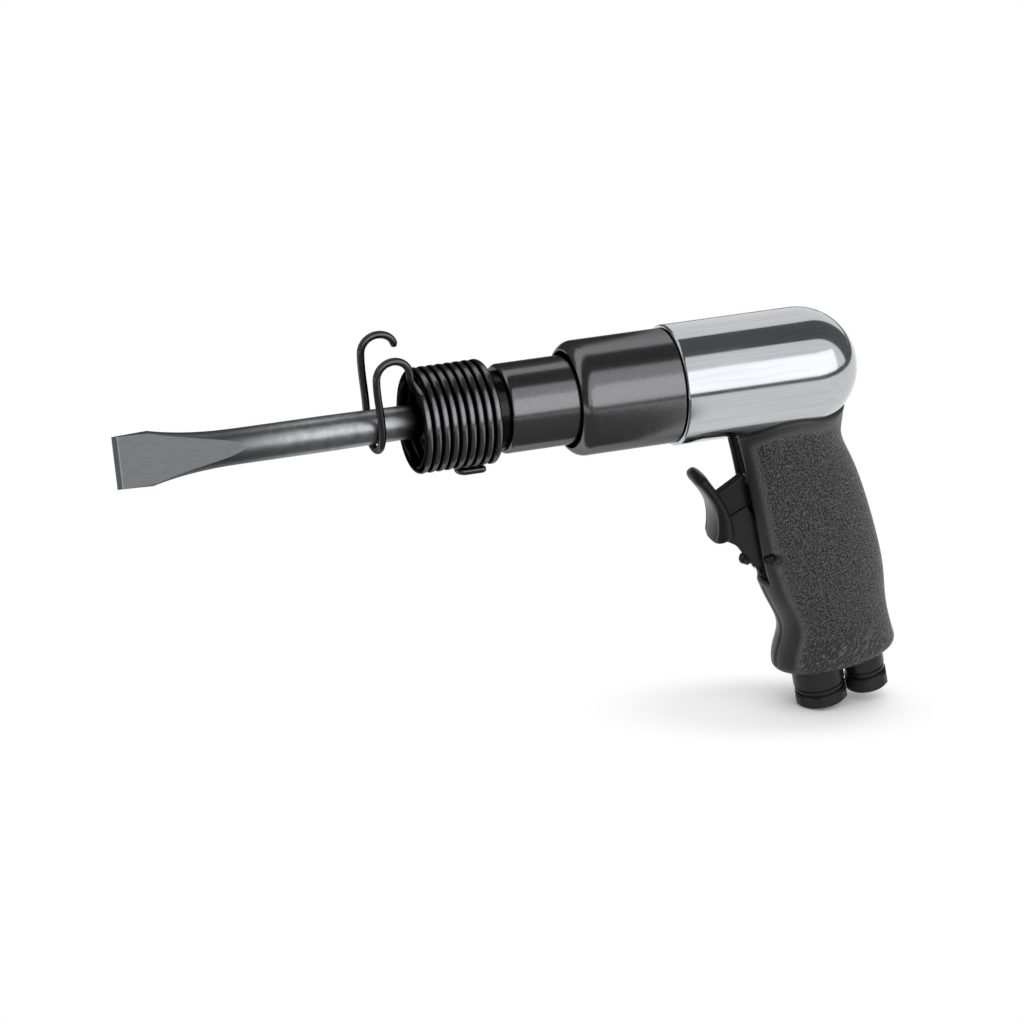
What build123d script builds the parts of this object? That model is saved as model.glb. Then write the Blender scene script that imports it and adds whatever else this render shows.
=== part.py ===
from build123d import *
import os
from math import ceil, cos, dist, pi, radians, sin, sqrt

# Pneumatic chipping hammer with a flat chisel held by a wire retainer.
# The barrel's axis is the X axis, the chisel points to -X and Z is up.
# The origin is on that axis, at the front face of the polished head.
# All lengths are in millimetres and all angles in degrees.

# Fits
fit_gap = 0.05
free_gap = 0.3

# Polished head
head_radius = 24.0
head_length = 55.5
head_rim_round = 0.9
chamber_radius = 14.0
chamber_length = 10.0
chamber_slope = 4.0

# Barrel
barrel_radius = 17.65
barrel_reach = 70.8
barrel_shoulder_round = 1.9
spigot_radius = 17.0
spigot_length = 20.0
flange_radius = 20.15
flange_length = 9.0
bore_radius = 9.5
bore_reach = 60.0
nose_radius = 17.05
nose_reach = 98.0
nose_chamfer = 1.2
relief_radius = 15.2
relief_length = 3.7
exhaust_port_radius = 2.4
exhaust_port_reach = 24.0
exhaust_port_count = 4
transfer_hole_radius = 1.2
transfer_hole_circle = 12.3
transfer_hole_reach = 50.0

# Rubber ring on the barrel's spigot
barrel_seal_wire = 0.88
barrel_seal_place = 3.5

# Sleeve in front of the head
sleeve_radius = 22.75
sleeve_reach = 42.3
sleeve_front_gap = 1.6
sleeve_round_length = 5.2
sleeve_lip = 0.6
sleeve_rear_round = 0.5

# Valve case, cap and shuttle ring
case_length = 10.0
pocket_radius = 13.0
pocket_depth = 5.0
centre_port_radius = 4.5
cap_length = 6.5
cap_spigot_radius = 6.0
shuttle_thickness = 3.4
valve_port_radius = 1.5
valve_port_circle = 9.6
case_port_circle = 7.6
valve_port_count = 6
valve_pin_radius = 1.25
valve_pin_circle = 15.0

# Piston
piston_length = 36.0
piston_edge = 1.0

# Chisel and its bushing
bushing_radius = 8.0
bushing_setback = 1.0
shank_radius = 5.1
shank_reach = 58.0
shank_chamfer = 0.8
collar_radius = 9.4
collar_length = 5.0
shaft_radius = 6.95
shaft_neck_radius = 6.65
shaft_neck_length = 8.7
swell_length = 28.0
blade_root_reach = 173.0
blade_wide_reach = 211.0
edge_reach = 225.0
blade_wide = 21.2
edge_width = 20.2
flare_steps = 6
flare_power = 2.5
grind_start = 0.25
edge_bevel = 1.6
bevel_thickness = 2.7
edge_thickness = 0.4
blade_roll = 18.8

# Retainer wire
wire_radius = 1.5
coil_seat_gap = 0.35
coil_gap = 0.55
coil_near_crossings = 9
coil_rear_reach = 76.1
coil_end_angle = 40.0
bail_gap = 0.8
bail_reach = 121.0
hook_lean = 2.2
hook_radius = 6.8
near_hook_height = 29.7
far_hook_height = 33.9
hook_end_drop = 5.6
tail_drop = 2.7
tail_length = 7.2
tail_bend = 2.6
tail_setback = 0.9

# Handle, measured along its own leaning axis from the underside of the head
handle_place = 52.0
handle_lean = 11.0
cover_wall = 2.5
cover_floor = 4.0
grip_length = 107.0
grip_bottom_round = 4.0
waist_rise = 19.0
belly_rise = 33.0
heel_rise = 9.0
bottom_slant = 3.5
waist_depth = grip_length - waist_rise
# Each station of the grip: depth along the handle, front, rear, half width
grip_stations = (
    (-12.0, -25.6, 24.6, 19.2),
    (-1.0, -25.2, 23.6, 18.6),
    (7.0, -24.8, 21.3, 17.8),
    (20.0, -24.7, 23.4, 17.2),
    (36.0, -24.7, 26.6, 17.0),
    (56.0, -24.3, 28.8, 17.0),
    (grip_length - belly_rise, -20.9, 29.3, 16.8),
    (waist_depth, -18.7, 28.2, 16.2),
    (grip_length - heel_rise, -22.6, 28.6, 16.8),
    (grip_length, -23.6, 29.8, 17.0),
)

# Trigger slot, pivot and lever
slot_half_width = 4.6
slot_floor = -14.5
slot_top = -2.8
slot_bottom = 63.0
cover_slot_half_width = 6.4
pivot_back = -19.1
pivot_depth = 51.0
pin_radius = 1.25
pin_half_length = 8.7
pin_chamfer = 0.3
pin_recess_radius = 2.7
pivot_boss_radius = 4.1
pad_half_width = 7.6
pad_corner_round = 1.4
pad_edge_round = 0.9
pad_top = 44.5
pad_bottom = 11.8
pad_outline_round = 6.6
web_half_width = 2.4
web_setback = 3.0
web_height = 36.6
web_front_height = 31.4
web_foot_height = 18.0
lever_front = -16.9
cheek_half_width = 4.2
cheek_front_height = 20.4
cheek_foot_height = 12.0
fork_half_width = 2.95
fork_height = 8.4
fork_front = 12.3
# Points of the lever's outline, as distances behind and below its pivot
pad_front = ((-24.5, -41.8), (-18.5, -24.5), (-21.5, -12.2))
pad_back = ((-14.9, -13.0), (-14.7, -24.0), (-21.1, -43.8))
cheek_top = (-4.6, -23.8)
cheek_tip = (-3.5, 9.2)
cheek_shin = (-10.3, -5.6)
cheek_calf = (-13.5, -9.6)

# Throttle valve, across the handle behind the trigger
throttle_depth = 17.0
throttle_bore_radius = 4.65
throttle_bore_end = 6.0
throttle_bushing_proud = 1.0
throttle_bushing_length = 9.0
throttle_chamber_radius = 3.1
throttle_chamber_length = 4.5
stem_radius = 2.0
stem_chamfer = 0.7
valve_head_radius = 3.9
valve_head_length = 2.4
throttle_seal_length = 1.0
guide_radius = 1.5
guide_length = 3.3
spring_wire = 0.45
spring_radius = 3.05
spring_turns = 5

# Air passages in the handle
live_passage_radius = 4.0
feed_passage_radius = 2.6
exhaust_passage_radius = 5.0
exhaust_passage_top = 4.0
cross_drill_radius = 2.2
cross_drill_offset = 6.5
cross_drill_break = 2.0

# Regulator screw under the trigger
regulator_head_back = -28.8
regulator_head_depth = 50.3
regulator_slope = 35.0
regulator_head_radius = 2.5
regulator_head_length = 3.6
regulator_head_chamfer = 0.8
regulator_slot_width = 0.8
regulator_slot_depth = 1.2
regulator_shank_radius = 1.6
regulator_length = 25.0
regulator_hole_spare = 2.0
regulator_seal_wire = 0.5
regulator_seal_place = 20.0

# Fittings under the grip
inlet_place = -5.4
exhaust_place = 14.8
fitting_groove = 1.0
fitting_ring = 1.1
groove_depth = 0.9
washer_thickness = 1.0
spigot_depth = 9.0
inlet_drop = 17.0
inlet_hex = 20.8
inlet_hex_height = 5.1
inlet_collar_radius = 10.5
inlet_spigot_radius = 8.0
inlet_thread_radius = 5.6
inlet_thread_length = 13.0
inlet_neck_radius = 4.2
exhaust_drop = 18.2
exhaust_hex = 17.0
exhaust_hex_height = 6.2
exhaust_collar_radius = 8.4
exhaust_spigot_radius = 6.0
exhaust_bore_radius = 4.5
hex_corner_share = 1.07
hex_chamfer = 0.8
hex_turn = -9.5
strainer_radius = 3.4
strainer_wall = 0.7
strainer_length = 11.0
strainer_flange = 1.0
silencer_length = 14.0

# Places worked out from the sizes above
seat_face = spigot_length + case_length + cap_length
casting_bore_radius = spigot_radius + fit_gap
coil_radius = nose_radius + coil_seat_gap + wire_radius
coil_pitch = 2 * wire_radius + coil_gap
bail_half_width = shaft_radius + bail_gap + wire_radius
core_length = grip_length - cover_floor
inlet_end = grip_length + inlet_drop
exhaust_end = grip_length + exhaust_drop
core_wall = cover_wall + fit_gap

along_handle = Vector(sin(radians(handle_lean)), 0, -cos(radians(handle_lean)))
across_handle = Vector(cos(radians(handle_lean)), 0, sin(radians(handle_lean)))
handle_top = Vector(handle_place, 0, -head_radius)
sideways = Vector(0, 1, 0)


def in_handle(back, depth):
    """The point of the middle plane at a distance back and a depth in the handle."""
    return handle_top + across_handle * back + along_handle * depth


handle_side = Plane(handle_top, x_dir=across_handle, z_dir=sideways)
handle_section = Plane(handle_top, x_dir=across_handle, z_dir=along_handle)
lever_side = Plane(in_handle(pivot_back, pivot_depth), x_dir=across_handle, z_dir=sideways)
throttle_axis = Plane(in_handle(0, throttle_depth), x_dir=across_handle, z_dir=sideways)
inlet_axis = Plane(in_handle(inlet_place, 0), x_dir=along_handle, z_dir=sideways)
exhaust_axis = Plane(in_handle(exhaust_place, 0), x_dir=along_handle, z_dir=sideways)
slope_angle = radians(regulator_slope)
regulator_slant = across_handle * cos(slope_angle) + along_handle * sin(slope_angle)
regulator_axis = Plane(
    in_handle(regulator_head_back, regulator_head_depth), x_dir=regulator_slant, z_dir=sideways
)


def turned(plane, points, mode=Mode.ADD):
    """Turn a closed outline of (along, radius) points about the plane's x axis."""
    with BuildSketch(plane) as outline:
        with BuildLine():
            Polyline(*points, close=True)
        make_face()
    revolve(outline.sketch, axis=Axis(plane.origin, plane.x_dir), mode=mode)


def bored(plane, start, end, radius):
    """Bore a round hole along the plane's x axis from start to end."""
    turned(plane, [(start, 0), (end, 0), (end, radius), (start, radius)], Mode.SUBTRACT)


def ring(plane, place, middle_radius, wire):
    """A rubber ring of round section about the plane's x axis."""
    with BuildSketch(plane) as section:
        with Locations((place, middle_radius)):
            Circle(wire)
    revolve(section.sketch, axis=Axis(plane.origin, plane.x_dir))


def tapered_oval(wall, length, slant=0, mode=Mode.ADD):
    """The handle's body, a loft of ellipses that lies a wall's thickness inside the grip.

    Below the waist the sections slant more and more, up to the given angle.
    """
    sections = []
    for depth, front, rear, half_width in grip_stations:
        share = max(0, depth - waist_depth) / (grip_length - waist_depth)
        level = handle_section.offset(min(depth, length)).rotated((0, slant * share, 0))
        with BuildSketch(level) as section:
            with Locations(((front + rear) / 2, 0)):
                Ellipse((rear - front) / 2 - wall, half_width - wall)
        sections.append(section.sketch)
    loft(sections, mode=mode)


def head_solid(gap, mode=Mode.ADD):
    """The head's cylinder and half-round rear, grown by a gap."""
    radius = head_radius + gap
    with BuildSketch(Plane.XZ) as outline:
        with BuildLine():
            Polyline((head_length + radius, 0), (0, 0), (0, radius), (head_length, radius))
            RadiusArc((head_length, radius), (head_length + radius, 0), radius)
        make_face()
    revolve(outline.sketch, axis=Axis.X, mode=mode)


def biarc(start, start_way, end, end_way):
    """Join two points and their directions by two arcs that share a tangent."""
    reach = end - start
    both = start_way + end_way
    spread = 2 * (1 - start_way.dot(end_way))
    lean = reach.dot(both)
    if spread < 1e-9:
        run = reach.dot(reach) / (2 * lean)
    else:
        run = (sqrt(lean * lean + spread * reach.dot(reach)) - lean) / spread
    middle = (start + end + (start_way - end_way) * run) * 0.5
    bend(start, start_way, middle)
    bend(end, end_way * -1, middle)


def bend(start, way, end):
    """One arc, or a straight run, that leaves a point in a direction and ends at another."""
    chord = end - start
    half = chord.length / 2
    chord = chord.normalized()
    aside = way - chord * way.dot(chord)
    if aside.length < 1e-6:
        Line(start, end)
        return
    rise = half * aside.length / (1 + way.dot(chord))
    ThreePointArc(start, (start + end) * 0.5 + aside.normalized() * rise, end)


def coil_points(radius, pitch, first, last, start):
    """Points and directions of a coil about X, a quarter turn or less apart.

    The angle is counted in degrees from the top towards -Y and falls from first to last,
    while the coil moves a pitch to -X in each turn.
    """
    steps = ceil((first - last) / 90)
    slope = pitch / (2 * pi * radius)
    stations = []
    for step in range(steps + 1):
        angle = radians(first + (last - first) * step / steps)
        along = start - pitch * (first - last) / 360 * step / steps
        point = Vector(along, -radius * sin(angle), radius * cos(angle))
        way = Vector(-slope, cos(angle), sin(angle)).normalized()
        stations.append((point, way))
    return stations


def least_gap(path, wire):
    """The least gap of a wire to itself, measured on points along its middle line."""
    spacing = wire / 2
    count = int(path.length / spacing)
    points = [tuple(path.position_at(step / count)) for step in range(count + 1)]
    apart = int(4 * wire / spacing)
    gaps = [dist(a, b) for i, a in enumerate(points) for b in points[i + apart:]]
    return min(gaps) - 2 * wire


# Handle casting: the polished head and the handle stem in one piece, bored for the valve gear,
# slotted for the trigger and drilled for air.
with BuildPart() as handle_casting:
    head_solid(0)
    rim = handle_casting.edges().filter_by(GeomType.CIRCLE).group_by(Axis.X)[0]
    fillet(rim, head_rim_round)
    tapered_oval(core_wall, core_length)
    # Stepped bore for the barrel and the valve gear, with the live air chamber behind them
    turned(
        Plane.XZ,
        [
            (-1, 0),
            (seat_face + chamber_length, 0),
            (seat_face + chamber_length, chamber_radius - chamber_slope),
            (seat_face + chamber_length - chamber_slope, chamber_radius),
            (seat_face, chamber_radius),
            (seat_face, casting_bore_radius),
            (-1, casting_bore_radius),
        ],
        Mode.SUBTRACT,
    )
    # Trigger slot
    with BuildSketch(handle_side):
        with BuildLine():
            Polyline(
                (slot_floor, slot_top),
                (slot_floor, slot_bottom),
                (slot_floor - head_radius, slot_bottom),
                (slot_floor - head_radius, slot_top),
                close=True,
            )
        make_face()
    extrude(amount=slot_half_width, both=True, mode=Mode.SUBTRACT)
    # Throttle bore, live passage from the inlet and feed passage to the chamber
    bored(throttle_axis, slot_floor - 1, throttle_bore_end, throttle_bore_radius)
    bored(inlet_axis, throttle_depth, core_length + 1, live_passage_radius)
    feed_place = slot_floor - throttle_bushing_proud + throttle_bushing_length - throttle_chamber_length / 2
    feed_axis = Plane(in_handle(feed_place, 0), x_dir=along_handle, z_dir=sideways)
    bored(feed_axis, -chamber_radius, throttle_depth, feed_passage_radius)
    # Exhaust passage down the rear of the handle, and its slanted drilling from the barrel's end
    bored(exhaust_axis, exhaust_passage_top, core_length + 1, exhaust_passage_radius)
    drill_start = in_handle(exhaust_place, 2 * exhaust_passage_radius) + sideways * cross_drill_offset
    drill_top = cross_drill_break - casting_bore_radius
    drill_end = Vector(spigot_length + case_length, cross_drill_offset, drill_top)
    drill_run = drill_end - drill_start
    drill_axis = Plane(drill_start, x_dir=drill_run, z_dir=sideways.cross(drill_run))
    bored(drill_axis, 0, drill_run.length, cross_drill_radius)
    # Sockets for the two fittings, with the strainer's and the silencer's seats above them
    inlet_socket = core_length - spigot_depth - strainer_flange - free_gap
    bored(inlet_axis, inlet_socket, core_length + 1, inlet_spigot_radius + fit_gap)
    exhaust_socket = core_length - spigot_depth - silencer_length - free_gap
    bored(exhaust_axis, exhaust_socket, core_length + 1, exhaust_spigot_radius + fit_gap)
    # Pin hole, and the regulator's hole with a seat for its rubber ring
    with Locations(lever_side):
        Cylinder(pin_radius + fit_gap, 4 * pin_half_length, mode=Mode.SUBTRACT)
    regulator_hole_end = regulator_length + regulator_hole_spare
    bored(regulator_axis, regulator_head_length, regulator_hole_end, regulator_shank_radius + fit_gap)
    seal_seat_radius = regulator_shank_radius + 2 * fit_gap + 2 * regulator_seal_wire
    seal_seat_end = regulator_seal_place + regulator_seal_wire + fit_gap
    bored(regulator_axis, regulator_head_length, seal_seat_end, seal_seat_radius)
handle_casting.part.label = "handle_casting"

# Grip cover: a rubber boot drawn over the handle stem from below, open in front for the trigger.
with BuildPart() as grip_cover:
    tapered_oval(0, grip_length, bottom_slant)
    bottom = grip_cover.faces().filter_by(GeomType.PLANE).sort_by(Axis(handle_top, along_handle))[-1]
    fillet(bottom.edges(), grip_bottom_round)
    head_solid(fit_gap, mode=Mode.SUBTRACT)
    tapered_oval(cover_wall, core_length, mode=Mode.SUBTRACT)
    with BuildSketch(handle_side):
        with BuildLine():
            Polyline(
                (slot_floor, -head_radius),
                (slot_floor, slot_bottom),
                (slot_floor - head_radius, slot_bottom),
                (slot_floor - head_radius, -head_radius),
                close=True,
            )
        make_face()
    extrude(amount=cover_slot_half_width, both=True, mode=Mode.SUBTRACT)
    with Locations(lever_side):
        Cylinder(pin_recess_radius, 4 * pin_half_length, mode=Mode.SUBTRACT)
    bored(inlet_axis, core_length - 1, inlet_end, inlet_collar_radius + free_gap)
    bored(exhaust_axis, core_length - 1, exhaust_end, exhaust_collar_radius + free_gap)
grip_cover.part.label = "grip_cover"

# Barrel: a hardened cylinder screwed into the head, with a flange that seats on the head's face
# and a nose that carries the retainer's coils.
with BuildPart() as barrel:
    turned(
        Plane.XZ,
        [
            (-nose_reach, 0),
            (spigot_length, 0),
            (spigot_length, spigot_radius),
            (0, spigot_radius),
            (0, flange_radius),
            (-flange_length, flange_radius),
            (-flange_length, barrel_radius),
            (-barrel_reach, barrel_radius),
            (-barrel_reach, relief_radius),
            (-barrel_reach - relief_length, relief_radius),
            (-barrel_reach - relief_length, nose_radius),
            (-nose_reach, nose_radius),
        ],
    )
    round_edges = barrel.edges().filter_by(GeomType.CIRCLE)
    shoulder = round_edges.filter_by(lambda edge: abs(edge.center().X + barrel_reach) < 0.01)
    fillet(shoulder.sort_by(SortBy.RADIUS)[-1], barrel_shoulder_round)
    nose_tip = barrel.edges().filter_by(GeomType.CIRCLE).group_by(Axis.X)[0]
    chamfer(nose_tip, nose_chamfer)
    bored(Plane.XZ, -bore_reach, spigot_length, bore_radius)
    bored(Plane.XZ, -nose_reach, -bore_reach, bushing_radius + fit_gap)
    # Groove for the rubber ring
    groove_radius = casting_bore_radius - 2 * barrel_seal_wire
    groove_half = barrel_seal_wire + fit_gap
    turned(
        Plane.XZ,
        [
            (barrel_seal_place - groove_half, groove_radius - fit_gap),
            (barrel_seal_place + groove_half, groove_radius - fit_gap),
            (barrel_seal_place + groove_half, spigot_radius + 1),
            (barrel_seal_place - groove_half, spigot_radius + 1),
        ],
        Mode.SUBTRACT,
    )
    # Exhaust ports under the sleeve
    with Locations(Plane((-exhaust_port_reach, 0, 0), x_dir=(0, 1, 0), z_dir=(1, 0, 0))):
        with PolarLocations(barrel_radius, exhaust_port_count, start_angle=45):
            Cylinder(exhaust_port_radius, 2 * (barrel_radius - bore_radius + 1), rotation=(0, 90, 0),
                     mode=Mode.SUBTRACT)
    # Transfer holes from the valve gear to the front of the bore
    with BuildSketch(Plane.YZ.offset(spigot_length)):
        with PolarLocations(transfer_hole_circle, 2, start_angle=90):
            Circle(transfer_hole_radius)
    extrude(amount=-spigot_length - transfer_hole_reach, mode=Mode.SUBTRACT)
    with BuildSketch(Plane.XY.offset(-transfer_hole_circle)):
        with Locations((3 * transfer_hole_radius - transfer_hole_reach, 0)):
            Circle(transfer_hole_radius - fit_gap)
    extrude(amount=2 * transfer_hole_circle, mode=Mode.SUBTRACT)
barrel.part.label = "barrel"

# Barrel seal: rubber ring that closes the joint between barrel and head.
with BuildPart() as barrel_seal:
    ring(Plane.XZ, barrel_seal_place, spigot_radius - barrel_seal_wire, barrel_seal_wire)
barrel_seal.part.label = "barrel_seal"

# Barrel sleeve: steers the exhaust forwards along the barrel, trapped between flange and head.
with BuildPart() as barrel_sleeve:
    sleeve_inside = barrel_radius + sleeve_front_gap
    sleeve_front = sleeve_inside + sleeve_lip
    with BuildSketch(Plane.XZ):
        with BuildLine():
            outer = Polyline(
                (-sleeve_reach, sleeve_front),
                (-sleeve_reach, sleeve_inside),
                (-flange_length - fit_gap, sleeve_inside),
                (-flange_length - fit_gap, flange_radius + fit_gap),
                (-free_gap, flange_radius + fit_gap),
                (-free_gap, sleeve_radius),
                (sleeve_round_length - sleeve_reach, sleeve_radius),
            )
            TangentArc(outer @ 1, outer @ 0, tangent=(-1, 0))
        make_face()
    revolve(axis=Axis.X)
    rear_edges = barrel_sleeve.edges().filter_by(GeomType.CIRCLE).group_by(Axis.X)[-1]
    fillet(rear_edges.sort_by(SortBy.RADIUS)[-1], sleeve_rear_round)
barrel_sleeve.part.label = "barrel_sleeve"

# Chisel bushing: hardened guide for the chisel's shank, pushed into the nose.
with BuildPart() as chisel_bushing:
    turned(
        Plane.XZ,
        [
            (-nose_reach + bushing_setback, shank_radius + fit_gap),
            (-bore_reach - fit_gap, shank_radius + fit_gap),
            (-bore_reach - fit_gap, bushing_radius),
            (-nose_reach + bushing_setback, bushing_radius),
        ],
    )
chisel_bushing.part.label = "chisel_bushing"

# Valve case: closes the rear of the barrel and holds the pocket in which the shuttle ring moves.
with BuildPart() as valve_case:
    pocket_start = spigot_length + case_length - pocket_depth
    turned(
        Plane.XZ,
        [
            (spigot_length, centre_port_radius),
            (pocket_start, centre_port_radius),
            (pocket_start, pocket_radius),
            (spigot_length + case_length, pocket_radius),
            (spigot_length + case_length, spigot_radius),
            (spigot_length, spigot_radius),
        ],
    )
    with BuildSketch(Plane.YZ.offset(spigot_length)):
        with PolarLocations(case_port_circle, valve_port_count):
            Circle(valve_port_radius)
        with PolarLocations(transfer_hole_circle, 2, start_angle=90):
            Circle(transfer_hole_radius)
    extrude(amount=case_length - pocket_depth, mode=Mode.SUBTRACT)
    with BuildSketch(Plane.YZ.offset(spigot_length)):
        with PolarLocations(valve_pin_circle, 2):
            Circle(valve_pin_radius + fit_gap)
    extrude(amount=case_length, mode=Mode.SUBTRACT)
valve_case.part.label = "valve_case"

# Valve cap: backs the case against the head's shoulder, with the spigot that guides the shuttle.
with BuildPart() as valve_cap:
    turned(
        Plane.XZ,
        [
            (pocket_start + free_gap, 0),
            (seat_face, 0),
            (seat_face, spigot_radius),
            (spigot_length + case_length, spigot_radius),
            (spigot_length + case_length, cap_spigot_radius),
            (pocket_start + free_gap, cap_spigot_radius),
        ],
    )
    with BuildSketch(Plane.YZ.offset(seat_face)):
        with PolarLocations(valve_port_circle, valve_port_count):
            Circle(valve_port_radius)
        with PolarLocations(valve_pin_circle, 2):
            Circle(valve_pin_radius + fit_gap)
    extrude(amount=-cap_length, mode=Mode.SUBTRACT)
valve_cap.part.label = "valve_cap"

# Valve pins: two dowels that keep the ports of case and cap in line.
with BuildPart() as valve_pins:
    with BuildSketch(Plane.YZ.offset(spigot_length + free_gap)):
        with PolarLocations(valve_pin_circle, 2):
            Circle(valve_pin_radius)
    extrude(amount=seat_face - spigot_length - 2 * free_gap)
valve_pins.part.label = "valve_pins"

# Cycle valve: the shuttle ring that sends the air to either end of the piston in turn.
with BuildPart() as cycle_valve:
    turned(
        Plane.XZ,
        [
            (pocket_start + free_gap, cap_spigot_radius + fit_gap),
            (pocket_start + free_gap + shuttle_thickness, cap_spigot_radius + fit_gap),
            (pocket_start + free_gap + shuttle_thickness, pocket_radius - free_gap),
            (pocket_start + free_gap, pocket_radius - free_gap),
        ],
    )
cycle_valve.part.label = "cycle_valve"

# Piston: the plain steel hammer that flies along the bore and strikes the shank.
with BuildPart() as piston:
    piston_rear = spigot_length - free_gap
    turned(
        Plane.XZ,
        [
            (piston_rear - piston_length, 0),
            (piston_rear, 0),
            (piston_rear, bore_radius - fit_gap),
            (piston_rear - piston_length, bore_radius - fit_gap),
        ],
    )
    chamfer(piston.edges().filter_by(GeomType.CIRCLE), piston_edge)
piston.part.label = "piston"

width_way = Vector(0, sin(radians(blade_roll)), cos(radians(blade_roll)))


def blade_oval(reach, half_width):
    """A section of the blade before grinding: as thick as the shaft, and an oval where wider."""
    with BuildSketch(Plane((-reach, 0, 0), x_dir=width_way, z_dir=(-1, 0, 0))) as section:
        if half_width > shaft_radius:
            Ellipse(half_width, shaft_radius)
        else:
            Circle(shaft_radius)
    return section.sketch


# Chisel: round shank, collar and shaft, forged out flat and ground to a bevelled edge.
with BuildPart() as chisel:
    flare_sections = []
    for step in range(flare_steps + 1):
        share = step / flare_steps
        reach = blade_root_reach + (blade_wide_reach - blade_root_reach) * share
        half_width = shaft_radius + (blade_wide / 2 - shaft_radius) * share**flare_power
        flare_sections.append(blade_oval(reach, half_width))
    loft(flare_sections)
    loft([flare_sections[-1], blade_oval(edge_reach, edge_width / 2)], ruled=True)
    with BuildSketch(Plane((0, 0, 0), x_dir=(-1, 0, 0), z_dir=width_way)):
        with BuildLine():
            wedge = Polyline(
                (blade_root_reach, 0),
                (blade_root_reach, shaft_radius + grind_start),
                (edge_reach - edge_bevel, bevel_thickness / 2),
                (edge_reach, edge_thickness / 2),
                (edge_reach, 0),
            )
            mirror(wedge, about=Plane.XZ)
        make_face()
    extrude(amount=blade_wide, both=True, mode=Mode.INTERSECT)
    collar_rear = -nose_reach - free_gap
    collar_front = collar_rear - collar_length
    turned(
        Plane.XZ,
        [
            (-blade_root_reach, 0),
            (-shank_reach, 0),
            (-shank_reach, shank_radius - shank_chamfer),
            (-shank_reach - shank_chamfer, shank_radius),
            (collar_rear, shank_radius),
            (collar_rear, collar_radius),
            (collar_rear - collar_length / 2, collar_radius),
            (collar_front, shaft_neck_radius),
            (collar_front - shaft_neck_length, shaft_neck_radius),
            (collar_front - shaft_neck_length - swell_length, shaft_radius),
            (-blade_root_reach, shaft_radius),
        ],
    )
chisel.part.label = "chisel"

# Retainer spring: one wire. A finger tail under the coils, the coils round the barrel's nose,
# then a bail whose near hook runs down beside the chisel, under it and up to the far hook.
with BuildPart() as retainer_spring:
    forward = Vector(-1, 0, 0)
    upward = Vector(0, 0, 1)
    coil = coil_points(
        coil_radius,
        coil_pitch,
        180,
        coil_end_angle - 360 * (coil_near_crossings - 1),
        -coil_rear_reach,
    )
    tail_depth = -coil_radius - tail_drop - wire_radius
    tail_rear = Vector(-coil_rear_reach - tail_setback, 0, tail_depth)
    tail_front = tail_rear + forward * tail_length
    tail_tip = tail_front + forward * tail_bend + sideways * tail_bend
    hook_front = bail_reach + hook_lean
    hook_rear = hook_front - 2 * hook_radius
    near_side = -bail_half_width
    far_side = bail_half_width
    stations = [(tail_tip, sideways * -1), (tail_front, forward * -1), (tail_rear, forward * -1)]
    stations += coil
    stations += [
        (Vector(-hook_rear, near_side, near_hook_height - hook_radius), upward),
        (Vector(-hook_rear - hook_radius, near_side, near_hook_height), forward),
        (Vector(-hook_front, near_side, near_hook_height - hook_radius), upward * -1),
        (Vector(-bail_reach, near_side, 0), upward * -1),
        (Vector(-bail_reach, 0, -bail_half_width), sideways),
        (Vector(-bail_reach, far_side, 0), upward),
        (Vector(-hook_front, far_side, far_hook_height - hook_radius), upward),
        (Vector(-hook_rear - hook_radius, far_side, far_hook_height), forward * -1),
        (Vector(-hook_rear, far_side, far_hook_height - hook_end_drop), upward * -1),
    ]
    with BuildLine() as wire_path:
        for (start, start_way), (end, end_way) in zip(stations, stations[1:]):
            biarc(start, start_way, end, end_way)
    with BuildSketch(Plane(tail_tip, z_dir=sideways * -1)):
        Circle(wire_radius)
    sweep(path=wire_path.line)
retainer_spring.part.label = "retainer_spring"
retainer_line = Wire(wire_path.edges())
print("retainer wire: length", round(retainer_line.length, 1),
      "least gap", round(least_gap(retainer_line, wire_radius), 2))

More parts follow.
